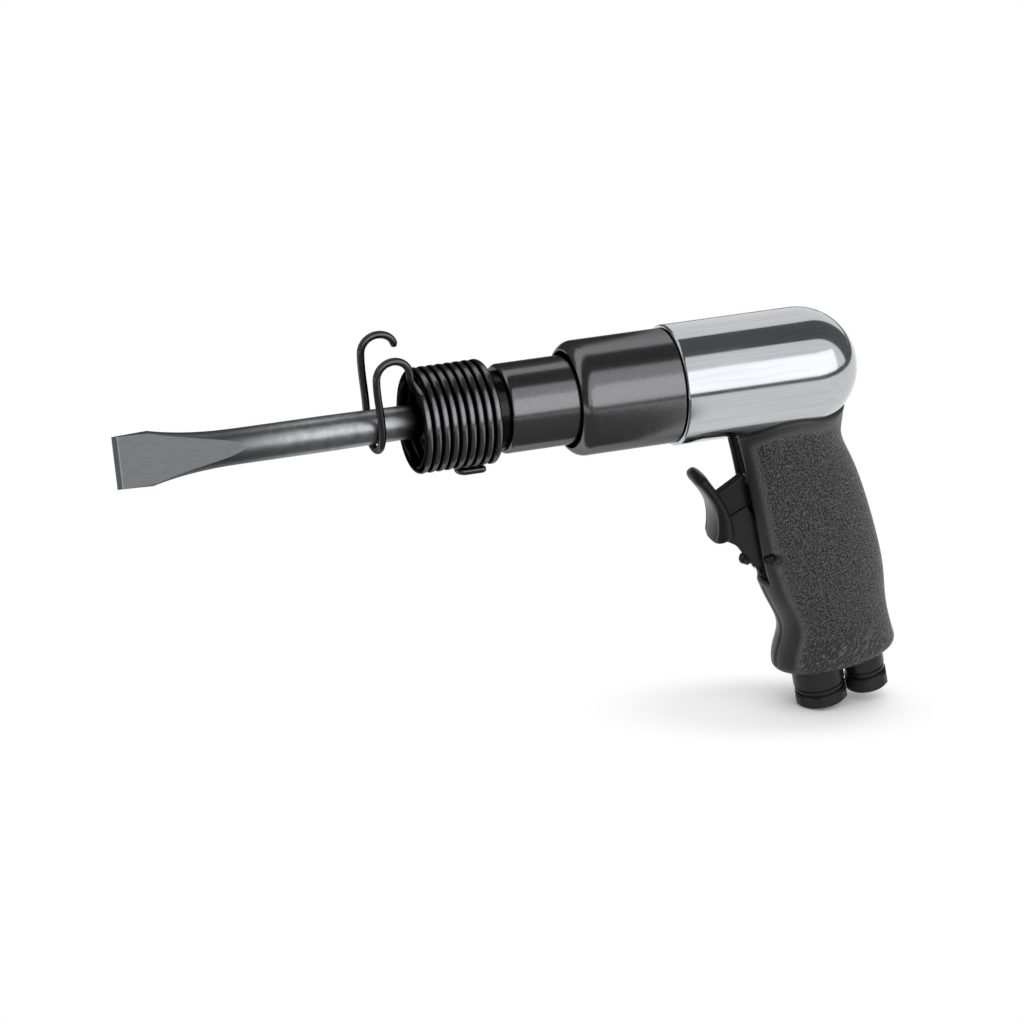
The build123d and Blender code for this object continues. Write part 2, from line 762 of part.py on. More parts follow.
# Trigger: a curved finger pad on a narrow web, forked below round the regulator screw and
# hung on the pin at its foot.
with BuildPart() as trigger:
    with BuildSketch(lever_side) as pad:
        with BuildLine():
            front = ThreePointArc(*pad_front)
            Line(front @ 1, pad_back[0])
            back = ThreePointArc(*pad_back)
            Line(back @ 1, front @ 0)
        make_face()
        fillet(pad.vertices(), pad_corner_round)
    extrude(amount=pad_half_width, both=True)
    fillet(trigger.faces().filter_by(Axis.Y).edges(), pad_edge_round)
    with BuildSketch(Plane(lever_side.origin, x_dir=sideways, z_dir=across_handle)) as pad_outline:
        with Locations((0, (pad_top + pad_bottom) / 2)):
            Rectangle(2 * pad_half_width + 1, pad_top - pad_bottom)
        fillet(pad_outline.vertices(), pad_outline_round)
    extrude(amount=2 * head_radius, both=True, mode=Mode.INTERSECT)
    with BuildSketch(lever_side):
        with BuildLine():
            Polyline(
                (lever_front, -web_front_height),
                (-web_setback, -web_height),
                (-web_setback, -web_foot_height),
                (lever_front, -web_foot_height),
                close=True,
            )
        make_face()
    extrude(amount=web_half_width, both=True)
    with BuildSketch(lever_side):
        with BuildLine():
            Polyline((lever_front, -cheek_front_height), cheek_top, (pivot_boss_radius, 0))
            heel = ThreePointArc(
                (pivot_boss_radius, 0), (0, pivot_boss_radius), (-pivot_boss_radius, pivot_boss_radius)
            )
            Polyline(heel @ 1, cheek_tip, cheek_shin)
            ThreePointArc(cheek_shin, cheek_calf, (lever_front, -cheek_foot_height))
            Line((lever_front, -cheek_foot_height), (lever_front, -cheek_front_height))
        make_face()
    extrude(amount=cheek_half_width, both=True)
    with BuildSketch(lever_side):
        with BuildLine():
            Polyline(
                (-fork_front, -fork_height),
                (2 * pivot_boss_radius, -fork_height),
                (2 * pivot_boss_radius, fork_front),
                (-fork_front, fork_front),
                close=True,
            )
        make_face()
    extrude(amount=fork_half_width, both=True, mode=Mode.SUBTRACT)
    with Locations(lever_side):
        Cylinder(pin_radius + fit_gap, 4 * cheek_half_width, mode=Mode.SUBTRACT)
trigger.part.label = "trigger"

# Trigger pin: plain steel pin through the handle, its ends in recesses of the grip cover.
with BuildPart() as trigger_pin:
    with Locations(lever_side):
        Cylinder(pin_radius, 2 * pin_half_length)
    chamfer(trigger_pin.edges().filter_by(GeomType.CIRCLE), pin_chamfer)
trigger_pin.part.label = "trigger_pin"

# Throttle bushing: metal guide and seat for the throttle valve, its face showing in the slot.
bushing_face = slot_floor - throttle_bushing_proud
bushing_end = bushing_face + throttle_bushing_length
with BuildPart() as throttle_bushing:
    turned(
        throttle_axis,
        [
            (bushing_face, stem_radius + fit_gap),
            (bushing_end - throttle_chamber_length, stem_radius + fit_gap),
            (bushing_end - throttle_chamber_length, throttle_chamber_radius),
            (bushing_end, throttle_chamber_radius),
            (bushing_end, throttle_bore_radius - fit_gap),
            (bushing_face, throttle_bore_radius - fit_gap),
        ],
    )
    bored(feed_axis, throttle_depth - throttle_bore_radius - 1, throttle_depth, valve_port_radius)
throttle_bushing.part.label = "throttle_bushing"

# Throttle valve: stem that the trigger's web pushes, with a head that lifts off the bushing.
stem_tip = pivot_back - web_setback + free_gap
seal_face = bushing_end + free_gap
head_face = seal_face + throttle_seal_length
head_back = head_face + valve_head_length
with BuildPart() as throttle_valve:
    turned(
        throttle_axis,
        [
            (stem_tip, 0),
            (head_back + guide_length, 0),
            (head_back + guide_length, guide_radius),
            (head_back, guide_radius),
            (head_back, valve_head_radius),
            (head_face, valve_head_radius),
            (head_face, stem_radius),
            (stem_tip + stem_chamfer, stem_radius),
            (stem_tip, stem_radius - stem_chamfer),
        ],
    )
throttle_valve.part.label = "throttle_valve"

# Throttle seal: rubber washer on the valve's stem, in front of its head.
with BuildPart() as throttle_seal:
    turned(
        throttle_axis,
        [
            (seal_face, stem_radius + fit_gap),
            (head_face, stem_radius + fit_gap),
            (head_face, valve_head_radius),
            (seal_face, valve_head_radius),
        ],
    )
throttle_seal.part.label = "throttle_seal"

# Throttle spring: closes the valve and returns the trigger.
with BuildPart() as throttle_spring:
    spring_start = head_back + spring_wire + free_gap
    spring_end = throttle_bore_end - spring_wire - free_gap
    spring_pitch = (spring_end - spring_start) / spring_turns
    spring_stations = []
    for point, way in coil_points(spring_radius, spring_pitch, 360 * spring_turns, 0, -spring_start):
        place = throttle_axis.from_local_coords((-point.X, point.Z, point.Y))
        aim = across_handle * -way.X + throttle_axis.y_dir * way.Z + sideways * way.Y
        spring_stations.append((place, aim))
    with BuildLine() as spring_path:
        for (start, start_way), (end, end_way) in zip(spring_stations, spring_stations[1:]):
            biarc(start, start_way, end, end_way)
    with BuildSketch(Plane(spring_stations[0][0], z_dir=spring_stations[0][1])):
        Circle(spring_wire)
    sweep(path=spring_path.line)
throttle_spring.part.label = "throttle_spring"
print("throttle spring: least gap", round(least_gap(Wire(spring_path.edges()), spring_wire), 2))

# Regulator screw: slanted screw whose tip narrows the live passage, with a round slotted head.
with BuildPart() as regulator_screw:
    turned(
        regulator_axis,
        [
            (0, 0),
            (regulator_length, 0),
            (regulator_length, regulator_shank_radius / 3),
            (regulator_length - regulator_shank_radius, regulator_shank_radius),
            (regulator_head_length, regulator_shank_radius),
            (regulator_head_length, regulator_head_radius),
            (regulator_head_chamfer, regulator_head_radius),
            (0, regulator_head_radius - regulator_head_chamfer),
        ],
    )
    with BuildSketch(Plane(regulator_axis.origin, x_dir=sideways, z_dir=regulator_slant)):
        Rectangle(regulator_slot_width, 3 * regulator_head_radius)
    extrude(amount=regulator_slot_depth, mode=Mode.SUBTRACT)
regulator_screw.part.label = "regulator_screw"

# Regulator seal: rubber ring round the screw's shank.
with BuildPart() as regulator_seal:
    ring(
        regulator_axis,
        regulator_seal_place,
        regulator_shank_radius + fit_gap + regulator_seal_wire,
        regulator_seal_wire,
    )
regulator_seal.part.label = "regulator_seal"


def fitting(plane, end, collar_radius, spigot_radius, hex_size, hex_height):
    """A hexagon-headed fitting without its bore: spigot, collar, ring and hexagon."""
    collar_top = core_length + washer_thickness
    hex_top = end - hex_height
    ring_top = hex_top - fitting_groove - fitting_ring
    groove_radius = collar_radius - groove_depth
    corner = hex_corner_share * hex_size / 2
    hex_place = plane.origin + plane.x_dir * hex_top
    with BuildSketch(Plane(hex_place, x_dir=(1, 0, 0), z_dir=plane.x_dir)) as hexagon:
        RegularPolygon(hex_size / 2, 6, major_radius=False, rotation=hex_turn)
    extrude(hexagon.sketch, amount=hex_height)
    turned(
        plane,
        [
            (hex_top, 0),
            (end, 0),
            (end, corner - hex_chamfer),
            (end - hex_chamfer, corner),
            (hex_top + hex_chamfer, corner),
            (hex_top, corner - hex_chamfer),
        ],
        Mode.INTERSECT,
    )
    turned(
        plane,
        [
            (core_length - spigot_depth, 0),
            (end - hex_height / 2, 0),
            (end - hex_height / 2, groove_radius),
            (hex_top - fitting_groove, groove_radius),
            (hex_top - fitting_groove, collar_radius - groove_depth / 3),
            (ring_top, collar_radius - groove_depth / 3),
            (ring_top, groove_radius),
            (ring_top - fitting_groove, groove_radius),
            (ring_top - fitting_groove, collar_radius),
            (collar_top, collar_radius),
            (collar_top, spigot_radius),
            (core_length - spigot_depth, spigot_radius),
        ],
    )


# Inlet bushing: the front fitting, bored at its mouth for the air hose's nipple.
with BuildPart() as inlet_bushing:
    fitting(
        inlet_axis, inlet_end, inlet_collar_radius, inlet_spigot_radius, inlet_hex, inlet_hex_height
    )
    bored(inlet_axis, core_length - spigot_depth, inlet_end, inlet_neck_radius)
    bored(inlet_axis, inlet_end - inlet_thread_length, inlet_end, inlet_thread_radius)
inlet_bushing.part.label = "inlet_bushing"

# Exhaust bushing: the rear fitting, through which spent air leaves the handle.
with BuildPart() as exhaust_bushing:
    fitting(
        exhaust_axis,
        exhaust_end,
        exhaust_collar_radius,
        exhaust_spigot_radius,
        exhaust_hex,
        exhaust_hex_height,
    )
    bored(exhaust_axis, core_length - spigot_depth, exhaust_end, exhaust_bore_radius)
exhaust_bushing.part.label = "exhaust_bushing"


def washer(plane, hole_radius, outer_radius):
    """A flat washer between the handle stem and a fitting's collar."""
    turned(
        plane,
        [
            (core_length, hole_radius),
            (core_length + washer_thickness, hole_radius),
            (core_length + washer_thickness, outer_radius),
            (core_length, outer_radius),
        ],
    )


# Inlet washer and exhaust washer: soft rings that the two fittings' collars press on to the stem.
with BuildPart() as inlet_washer:
    washer(inlet_axis, inlet_spigot_radius + fit_gap, inlet_collar_radius)
inlet_washer.part.label = "inlet_washer"

with BuildPart() as exhaust_washer:
    washer(exhaust_axis, exhaust_spigot_radius + fit_gap, exhaust_collar_radius)
exhaust_washer.part.label = "exhaust_washer"

# Inlet strainer: a closed thimble with a flange that the inlet bushing clamps.
with BuildPart() as inlet_strainer:
    flange_top = inlet_socket + fit_gap
    flange_end = flange_top + strainer_flange
    turned(
        inlet_axis,
        [
            (flange_top - strainer_length, 0),
            (flange_top - strainer_length + strainer_wall, 0),
            (flange_top - strainer_length + strainer_wall, strainer_radius - strainer_wall),
            (flange_end, strainer_radius - strainer_wall),
            (flange_end, inlet_spigot_radius),
            (flange_top, inlet_spigot_radius),
            (flange_top, strainer_radius),
            (flange_top - strainer_length, strainer_radius),
        ],
    )
inlet_strainer.part.label = "inlet_strainer"

# Exhaust silencer: porous plug above the exhaust bushing.
with BuildPart() as exhaust_silencer:
    turned(
        exhaust_axis,
        [
            (exhaust_socket + fit_gap, 0),
            (core_length - spigot_depth, 0),
            (core_length - spigot_depth, exhaust_spigot_radius),
            (exhaust_socket + fit_gap, exhaust_spigot_radius),
        ],
    )
exhaust_silencer.part.label = "exhaust_silencer"

pieces = (
    handle_casting,
    grip_cover,
    barrel,
    barrel_seal,
    barrel_sleeve,
    chisel_bushing,
    valve_case,
    valve_cap,
    valve_pins,
    cycle_valve,
    piston,
    chisel,
    retainer_spring,
    trigger,
    trigger_pin,
    throttle_bushing,
    throttle_valve,
    throttle_seal,
    throttle_spring,
    regulator_screw,
    regulator_seal,
    inlet_bushing,
    exhaust_bushing,
    inlet_washer,
    exhaust_washer,
    inlet_strainer,
    exhaust_silencer,
)
os.makedirs("parts", exist_ok=True)
for piece in pieces:
    export_step(piece.part, f"parts/{piece.part.label}.step")
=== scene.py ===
import math

import bpy
import numpy as np
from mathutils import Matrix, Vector


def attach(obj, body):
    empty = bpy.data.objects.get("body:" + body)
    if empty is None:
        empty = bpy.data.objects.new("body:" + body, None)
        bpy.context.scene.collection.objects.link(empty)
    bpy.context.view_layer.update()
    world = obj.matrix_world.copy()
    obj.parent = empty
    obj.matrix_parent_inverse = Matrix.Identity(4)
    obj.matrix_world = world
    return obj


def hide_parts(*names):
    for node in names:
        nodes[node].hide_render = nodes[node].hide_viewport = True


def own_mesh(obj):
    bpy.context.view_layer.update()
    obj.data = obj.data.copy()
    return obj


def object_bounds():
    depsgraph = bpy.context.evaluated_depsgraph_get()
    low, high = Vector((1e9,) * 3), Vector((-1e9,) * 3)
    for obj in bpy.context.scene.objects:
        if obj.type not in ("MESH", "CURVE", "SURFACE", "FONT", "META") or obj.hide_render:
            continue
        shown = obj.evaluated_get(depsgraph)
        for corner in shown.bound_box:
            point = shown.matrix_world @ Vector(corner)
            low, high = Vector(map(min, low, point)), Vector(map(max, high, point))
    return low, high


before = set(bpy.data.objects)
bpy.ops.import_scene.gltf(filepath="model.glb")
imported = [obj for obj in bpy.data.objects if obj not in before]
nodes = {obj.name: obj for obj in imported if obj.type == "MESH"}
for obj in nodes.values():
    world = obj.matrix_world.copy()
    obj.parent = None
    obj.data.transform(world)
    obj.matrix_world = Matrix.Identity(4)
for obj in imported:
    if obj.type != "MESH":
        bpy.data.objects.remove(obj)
cad_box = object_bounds()

# Handle casting: head and handle stem in one alloy casting. The head is turned and buffed bright;
# the stem under the rubber and the walls of the trigger's slot stay as cast, dull and dark.
mm = 0.001


def colour(hex_code):
    """A linear RGBA colour from an sRGB hex code: each channel undoes the sRGB curve."""
    channels = np.array([int(hex_code[i:i + 2], 16) / 255 for i in (1, 3, 5)])
    dark = channels / 12.92
    light = ((channels + 0.055) / 1.055) ** 2.4
    return (*np.where(channels <= 0.04045, dark, light).tolist(), 1.0)


def add(tree, kind, inputs=None, **settings):
    """Adds a shader node, makes its settings, and sets its inputs or links them to other sockets."""
    made = tree.nodes.new(kind)
    for name, value in settings.items():
        setattr(made, name, value)
    for name, value in (inputs or {}).items():
        if isinstance(value, bpy.types.NodeSocket):
            tree.links.new(value, made.inputs[name])
        else:
            made.inputs[name].default_value = value
    return made


def new_finish(name):
    """An empty material, with its node tree and the socket for a point's place on the object."""
    finish = bpy.data.materials.new(name)
    finish.use_nodes = True
    tree = finish.node_tree
    tree.nodes.clear()
    return finish, tree, add(tree, "ShaderNodeTexCoord").outputs["Object"]


def stretch(tree, place, scale):
    """A place scaled along each axis, so that noise on it runs out along the axis of a small scale."""
    return add(tree, "ShaderNodeMapping", {"Vector": place, "Scale": scale}).outputs["Vector"]


def noise(tree, place, size, detail):
    """Noise from 0 to 1 with lumps of about a size, and finer layers for its detail."""
    inputs = {"Vector": place, "Scale": 1 / size, "Detail": detail}
    return add(tree, "ShaderNodeTexNoise", inputs).outputs["Fac"]


def reckon(tree, operation, *values):
    """The result of one operation on numbers or sockets."""
    return add(tree, "ShaderNodeMath", dict(enumerate(values)), operation=operation).outputs[0]


def rescale(tree, value, start, end, low=0.0, high=1.0, **settings):
    """A value carried from the range start to end over to the range low to high, and kept in it."""
    inputs = {"Value": value, "From Min": start, "From Max": end, "To Min": low, "To Max": high}
    return add(tree, "ShaderNodeMapRange", inputs, **settings).outputs[0]


def blend(tree, share, first, second):
    """The colour a share of the way from a first to a second, each a hex code or a socket."""
    first, second = (colour(end) if isinstance(end, str) else end for end in (first, second))
    inputs = {"Factor": share, "A": first, "B": second}
    return add(tree, "ShaderNodeMix", inputs, data_type="RGBA").outputs["Result"]


def relief(tree, height, strength, distance, **settings):
    """A normal that leans with a height, for marks that are too fine for the mesh."""
    inputs = {"Height": height, "Strength": strength, "Distance": distance}
    return add(tree, "ShaderNodeBump", inputs, **settings).outputs[0]


def show(tree, shader):
    """Ends a material with a shader."""
    add(tree, "ShaderNodeOutputMaterial", {"Surface": shader.outputs[0]})


def wear(finish, *names):
    """Gives a finish to CAD nodes, by name."""
    for name in names:
        nodes[name].data.materials.clear()
        nodes[name].data.materials.append(finish)


# The buffing wheel leaves faint streaks along the head, and the stem starts outside its radius.
head_radius = 24 * mm
head_length = 55.5 * mm
stem_gap = 0.1 * mm
casting, tree, place = new_finish("buffed_aluminium")
streak = noise(tree, stretch(tree, place, (0.04, 1, 1)), size=1.4 * mm, detail=2.0)
smear = noise(tree, place, size=14 * mm, detail=2.0)
uneven = reckon(tree, "ADD", streak, smear)
bright = add(tree, "ShaderNodeBsdfPrincipled", {
    "Base Color": blend(tree, streak, "#b0b2b7", "#cbcbcf"),
    "Metallic": 1.0,
    "Roughness": rescale(tree, uneven, 0.6, 1.4, low=0.07, high=0.15),
    "Normal": relief(tree, streak, strength=0.045, distance=0.1 * mm)})
sand = noise(tree, place, size=0.6 * mm, detail=3.0)
dull = add(tree, "ShaderNodeBsdfPrincipled", {
    "Base Color": blend(tree, sand, "#6c6d6f", "#8c8d8f"),
    "Metallic": 1.0,
    "Roughness": 0.5})
from_dome = add(tree, "ShaderNodeVectorMath", {0: place, 1: (head_length, 0, 0)}, operation="SUBTRACT")
behind = add(tree, "ShaderNodeVectorMath", {0: from_dome.outputs[0], 1: (0, -1, -1)}, operation="MAXIMUM")
from_head = add(tree, "ShaderNodeVectorMath", {0: behind.outputs[0]}, operation="LENGTH")
stem = reckon(tree, "GREATER_THAN", from_head.outputs["Value"], head_radius + stem_gap)
show(tree, add(tree, "ShaderNodeMixShader", {0: stem, 1: bright.outputs[0], 2: dull.outputs[0]}))
wear(casting, "handle_casting")

# Barrel and sleeve: turned steel, oxidised black and oiled. The barrel is screwed into the head, and
# the sleeve is trapped between its flange and the head. The nose under the coils is painted dark, as painted
# shade.
nose_shoulder = -70.8 * mm
oxide, tree, place = new_finish("black_oxide_steel")
turning = noise(tree, stretch(tree, place, (1, 0.05, 0.05)), size=0.6 * mm, detail=2.0)
grit = noise(tree, place, size=0.8 * mm, detail=3.0)
along = add(tree, "ShaderNodeSeparateXYZ", {"Vector": place}).outputs["X"]
# Painted shade: the nose under the coils is painted near black, where the coils shade it.
painted_shade_under_coils = reckon(tree, "LESS_THAN", along, nose_shoulder)
lit_tint = blend(tree, grit, "#68686a", "#7f7f80")
show(tree, add(tree, "ShaderNodeBsdfPrincipled", {
    "Base Color": blend(tree, painted_shade_under_coils, lit_tint, "#303030"),
    "Metallic": 1.0,
    "Roughness": rescale(tree, grit, 0.3, 0.7, low=0.15, high=0.23),
    "Specular Tint": colour("#b8b8b8"),
    "Normal": relief(tree, turning, strength=0.03, distance=0.05 * mm)}))
wear(oxide, "barrel", "barrel_sleeve")

# Inside: the valve's case, cap, pins and ring behind the barrel, the piston in its bore and the bushing
# in its nose are hardened steel, ground bright. A rubber ring on the barrel's spigot seals it.
steel, tree, place = new_finish("ground_steel")
grinding = noise(tree, place, size=0.5 * mm, detail=3.0)
show(tree, add(tree, "ShaderNodeBsdfPrincipled", {
    "Base Color": blend(tree, grinding, "#a9a9ab", "#bfbfc1"),
    "Metallic": 1.0,
    "Roughness": rescale(tree, grinding, 0.3, 0.7, low=0.28, high=0.4)}))
wear(steel, "chisel_bushing", "valve_case", "valve_cap", "valve_pins", "cycle_valve", "piston")

seal, tree, place = new_finish("seal_rubber")
bloom = noise(tree, place, size=1.5 * mm, detail=2.0)
show(tree, add(tree, "ShaderNodeBsdfPrincipled", {
    "Base Color": blend(tree, bloom, "#161616", "#242424"),
    "Roughness": 0.6}))
wear(seal, "barrel_seal")

# Chisel: one steel forging. The shaft keeps its dark scale, the blade's faces are ground and the edge
# is bevelled. It slides in the barrel's bushing, and the retainer keeps it in. Where it runs inside the
# coils it is painted dark, as painted shade.
blade_start = -150 * mm
blade_full = -178 * mm
bevel_start = -222.9 * mm
# Painted shade: towards the rear, inside the coils, the chisel fades to near black.
coil_shade_start = -116 * mm
coil_shade_full = -106 * mm
forged, tree, place = new_finish("forged_chisel_steel")
along = add(tree, "ShaderNodeSeparateXYZ", {"Vector": place}).outputs["X"]
ground = rescale(tree, along, blade_start, blade_full)
bevel = reckon(tree, "LESS_THAN", along, bevel_start)
coil_shade = rescale(tree, along, coil_shade_start, coil_shade_full)
scale = noise(tree, place, size=3 * mm, detail=6.0)
brush = noise(tree, stretch(tree, place, (0.1, 1, 1)), size=0.6 * mm, detail=2.0)
shaft_tint = blend(tree, scale, "#7c7d7f", "#c4c5c7")
blade_tint = blend(tree, brush, "#67686b", "#7c7d80")
clean = blend(tree, ground, shaft_tint, blade_tint)
edged = blend(tree, bevel, clean, "#8a8b8e")
show(tree, add(tree, "ShaderNodeBsdfPrincipled", {
    "Base Color": blend(tree, coil_shade, edged, "#262626"),
    "Metallic": 1.0,
    "Roughness": rescale(tree, ground, 0.0, 1.0, low=0.34, high=0.44),
    "Specular Tint": colour("#c8c8c8"),
    "Normal": relief(tree, brush, strength=0.08, distance=0.05 * mm)}))
wear(forged, "chisel")


# Retainer: one spring-steel wire, oiled black. A finger loop lies under the coils, the coils screw on
# to the barrel's nose, and the free end is bent into a bail with two finger hooks.
def coil(centre, axis, top, side, radius, ends, angles):
    """Stations of a helix, 20 degrees apart: along the axis between its ends while it turns from top
    towards side, between two angles in degrees."""
    station_gap = 20
    count = round(abs(angles[1] - angles[0]) / station_gap) + 1
    angle = np.radians(np.linspace(*angles, count))[:, None]
    along = np.linspace(*ends, count)[:, None]
    rise = (ends[1] - ends[0]) / (angle[-1] - angle[0])
    place = centre + along * axis + radius * (np.cos(angle) * top + np.sin(angle) * side)
    way = rise * axis + radius * (np.cos(angle) * side - np.sin(angle) * top)
    way *= np.sign(angles[1] - angles[0]) / np.linalg.norm(way, axis=1, keepdims=True)
    return list(zip(place, way))


def wire_line(stations, steps):
    """Points along a wire: a cubic from each station to the next, along the stations' ways.

    Its handles are a third of the chord over the squared cosine of a quarter of the turn, which
    makes it an arc wherever two stations lie on one.
    """
    place, way = np.array(stations, dtype=float).transpose(1, 0, 2)
    start, end = place[:-1], place[1:]
    chord = np.linalg.norm(end - start, axis=1, keepdims=True)
    turn = np.arccos(np.clip((way[:-1] * way[1:]).sum(axis=1, keepdims=True), -1, 1))
    handle = chord / (3 * np.cos(turn / 4) ** 2)
    t = np.linspace(0, 1, steps, endpoint=False)[:, None, None]
    spans = ((1 - t) ** 3 * start + 3 * (1 - t) ** 2 * t * (start + handle * way[:-1])
             + 3 * (1 - t) * t ** 2 * (end - handle * way[1:]) + t ** 3 * end)
    return np.vstack([spans.transpose(1, 0, 2).reshape(-1, 3), place[-1:]])


def new_piece(name, points, faces, finish, body):
    """A smooth-shaded mesh object that rides on a body."""
    mesh = bpy.data.meshes.new(name)
    mesh.from_pydata(points.tolist(), [], faces)
    mesh.shade_smooth()
    mesh.materials.append(finish)
    piece = bpy.data.objects.new(name, mesh)
    bpy.context.scene.collection.objects.link(piece)
    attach(piece, body)
    return piece


def ring_faces(rings, sides):
    """Faces of a tube of rings, closed at both ends."""
    number = np.arange(rings * sides).reshape(rings, sides)
    after = np.roll(number, -1, axis=1)
    quads = np.stack([number[:-1], after[:-1], after[1:], number[1:]], axis=-1)
    return quads.reshape(-1, 4).tolist() + [number[0, ::-1].tolist(), number[-1].tolist()]


def wire_piece(name, line, radius, sides, finish):
    """A round wire along a line: each ring lies across the run, and the last step of each end narrows.

    The rings are set out from the cross product of the run with a slanting direction that no
    stretch of the wire follows.
    """
    end_share = 0.7
    run = np.gradient(line, axis=0)
    run /= np.linalg.norm(run, axis=1, keepdims=True)
    thick = np.broadcast_to(radius, len(line)).copy()
    thick[[0, -1]] *= end_share
    first = np.cross(run, (1, 1, 1))
    first /= np.linalg.norm(first, axis=1, keepdims=True)
    second = np.cross(run, first)
    turn = np.linspace(0, 2 * np.pi, sides, endpoint=False)[:, None]
    rings = line[:, None] + thick[:, None, None] * (
        np.cos(turn) * first[:, None] + np.sin(turn) * second[:, None])
    return new_piece(name, rings.reshape(-1, 3), ring_faces(len(line), sides), finish, "hammer")


wire, tree, place = new_finish("oiled_spring_wire")
film = noise(tree, place, size=2 * mm, detail=3.0)
lit_tint = blend(tree, film, "#6c6c6e", "#828284")
# Painted light: the crests get the bright tint as a painted highlight, and the wire between and inside the
# turns the near-black tint as painted shade.
on_highlight = add(tree, "ShaderNodeAttribute", attribute_name="painted_highlight").outputs["Fac"]
highlight_not_shade = rescale(tree, on_highlight, 0.72, 1.0, interpolation_type="SMOOTHSTEP")
show(tree, add(tree, "ShaderNodeBsdfPrincipled", {
    "Base Color": blend(tree, highlight_not_shade, "#202021", lit_tint),
    "Metallic": 1.0,
    "Roughness": rescale(tree, film, 0.3, 0.7, low=0.17, high=0.25),
    "Specular Tint": colour("#a0a0a0")}))

# From here on, the sizes of pieces made in this file are in millimetres until their mesh is made.
wire_radius = 1.5
coil_wire_radius = 1.77
coil_radius = 18.9
coil_pitch = 3.55
coil_angles = (180, -2840)
coil_start = -76.1
coil_end = coil_start + coil_pitch * (coil_angles[1] - coil_angles[0]) / 360
tail_height, tail_width = -23.1, 2.5
tail_front, tail_rear, tail_end = -84.4, -77.6, -76.6
bail_width = 9.25
bail_place = -121
hook_rear, hook_top, hook_front = -109.6, -116.4, -123.2
near_top, far_top, hook_radius, hook_end = 29.7, 33.9, 6.8, 5.6
wire_steps, wire_sides = 8, 24
axis_x, axis_y, axis_z = np.eye(3)
tail = [
    ((tail_end, -tail_width, tail_height), -axis_x),
    ((tail_front, -tail_width, tail_height), -axis_x),
    ((tail_front - tail_width, 0, tail_height), axis_y),
    ((tail_front, tail_width, tail_height), axis_x),
    ((tail_rear, tail_width, tail_height), axis_x),
]
turns = coil(np.zeros(3), axis_x, axis_z, -axis_y, coil_radius, (coil_start, coil_end), coil_angles)
bail = [
    ((hook_rear, -bail_width, near_top - hook_radius), axis_z),
    ((hook_top, -bail_width, near_top), -axis_x),
    ((hook_front, -bail_width, near_top - hook_radius), -axis_z),
    ((bail_place, -bail_width, 0), -axis_z),
    ((bail_place, 0, -bail_width), axis_y),
    ((bail_place, bail_width, 0), axis_z),
    ((hook_front, bail_width, far_top - hook_radius), axis_z),
    ((hook_top, bail_width, far_top), axis_x),
    ((hook_rear, bail_width, far_top - hook_end), -axis_z),
]
line = wire_line(tail + turns + bail, wire_steps)

# The wire swells where it winds on to the coils and thins again where the bail leaves them.
first_turn, last_turn = len(tail), len(tail) + len(turns) - 1
swell_stations = np.array([first_turn - 1, first_turn + 1, last_turn - 1, last_turn + 1])
wound = np.interp(np.arange(len(line)), swell_stations * wire_steps, (0, 1, 1, 0))
thick = wire_radius + (coil_wire_radius - wire_radius) * wound
retainer = wire_piece("retainer_wire", line * mm, thick * mm, wire_sides, wire)

# Each turn's crest is painted bright, as a painted highlight, and painted shade stays dark between the turns
# and inside them.
bail_highlight = 0.86
points = np.empty((len(line), wire_sides, 3))
retainer.data.vertices.foreach_get("co", points.reshape(-1))
from_line = (points / mm - line[:, None]) / thick[:, None, None]
from_axis = line * (0, 1, 1)
from_axis /= np.linalg.norm(from_axis, axis=1, keepdims=True)
coil_crest = (from_line * from_axis[:, None]).sum(axis=-1)
painted_highlight = wound[:, None] * coil_crest + (1 - wound[:, None]) * bail_highlight
stored = retainer.data.attributes.new("painted_highlight", "FLOAT", "POINT")
stored.data.foreach_set("value", painted_highlight.ravel())
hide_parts("retainer_spring")

# Throttle: the valve's stem, head and washer slide in a steel bushing across the handle, and a small
# coil spring behind the head closes them. The bushing's face lies in the trigger's slot.
handle_top = np.array([52, 0, -24])
handle_lean = math.radians(11)
backward = np.array([math.cos(handle_lean), 0, math.sin(handle_lean)])
downward = np.array([math.sin(handle_lean), 0, -math.cos(handle_lean)])
throttle_depth = 17
spring_radius, spring_wire_radius = 3.05, 0.45
spring_ends = (-2.05, 5.25)
spring_turns = 5
throttle_place = handle_top + throttle_depth * downward
spring_stations = coil(throttle_place, backward, downward, axis_y, spring_radius, spring_ends,
                       (0, 360 * spring_turns))
spring_line = wire_line(spring_stations, steps=4)
throttle_spring = wire_piece("throttle_coil", spring_line * mm, spring_wire_radius * mm,
                             sides=12, finish=steel)
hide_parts("throttle_spring")
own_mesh(throttle_spring)
wear(steel, "throttle_bushing", "throttle_valve")
wear(seal, "throttle_seal")


# Grip cover: a moulded rubber boot drawn over the handle stem, open in front for the trigger. Its
# sides are grained like leather and its front stays smooth, with the mould's seam below the slot.
def smooth_through(knots, values, at):
    """Values along a smooth curve through knots: the cubic spline whose ends run out straight."""
    gap = np.diff(knots)
    inner = np.arange(1, len(knots) - 1)
    system = np.eye(len(knots))
    system[inner, inner - 1] = gap[:-1]
    system[inner, inner] = 2 * (gap[:-1] + gap[1:])
    system[inner, inner + 1] = gap[1:]
    change = np.zeros_like(values)
    change[1:-1] = 6 * np.diff(np.diff(values, axis=0) / gap[:, None], axis=0)
    bend = np.linalg.solve(system, change)
    span = np.clip(np.searchsorted(knots, at) - 1, 0, len(gap) - 1)
    width = gap[span][..., None]
    after = ((at - knots[span]) / gap[span])[..., None]
    before = 1 - after
    return before * values[span] + after * values[span + 1] + width ** 2 / 6 * (
        (before ** 3 - before) * bend[span] + (after ** 3 - after) * bend[span + 1])


